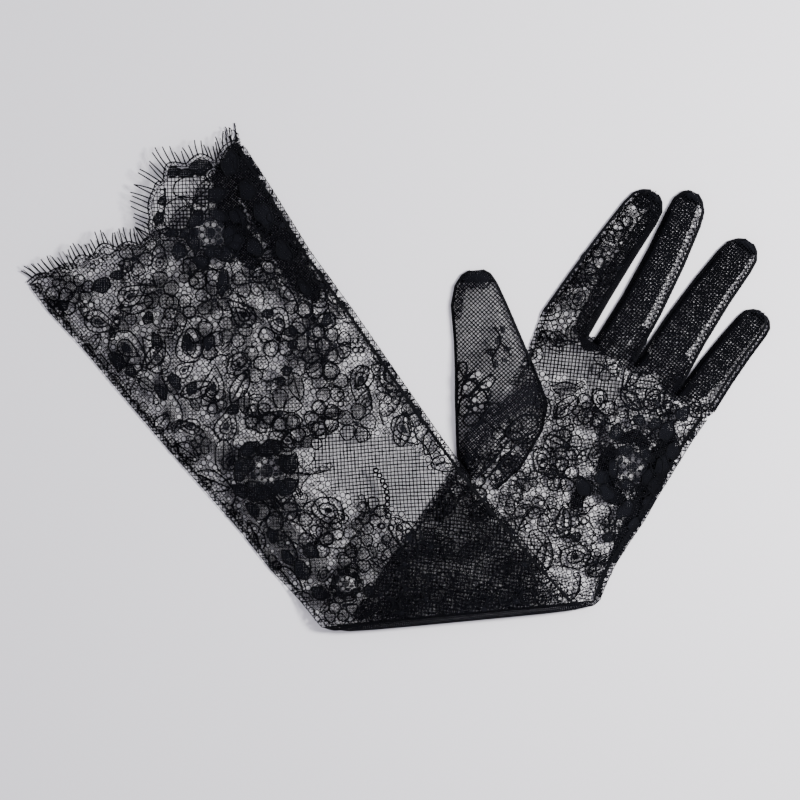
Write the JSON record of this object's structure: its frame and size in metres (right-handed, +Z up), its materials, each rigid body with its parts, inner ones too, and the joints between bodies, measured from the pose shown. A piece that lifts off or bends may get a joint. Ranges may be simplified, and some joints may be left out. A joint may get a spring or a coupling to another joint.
{
  "type": "lace glove",
  "caption": "Opera-length lace glove laid flat, palm up, its long arm folded back across the hand, with a set-in thumb, fourchettes and a scalloped eyelash hem.",
  "frame": {"origin": "middle of the laid glove's box, on the surface it lies on", "axes": "+X towards the little finger's side, along the laid glove's greatest width; +Y the way the fingers point; +Z up, away from the surface"},
  "size_m": [0.347, 0.2344, 0.0105],
  "materials": {
    "lace": "matte black lace net with flowers in closer work",
    "fourchette_net": "matte black net, several layers deep",
    "eyelash_lace": "matte black lace edge with bare threads"
  },
  "bodies": {
    "root": {"trank": "lace", "thumb": "lace", "fourchette_index_middle": "fourchette_net", "fourchette_middle_ring": "fourchette_net", "fourchette_ring_little": "fourchette_net", "eyelash_fringe": "eyelash_lace"}
  },
  "joints": []
}
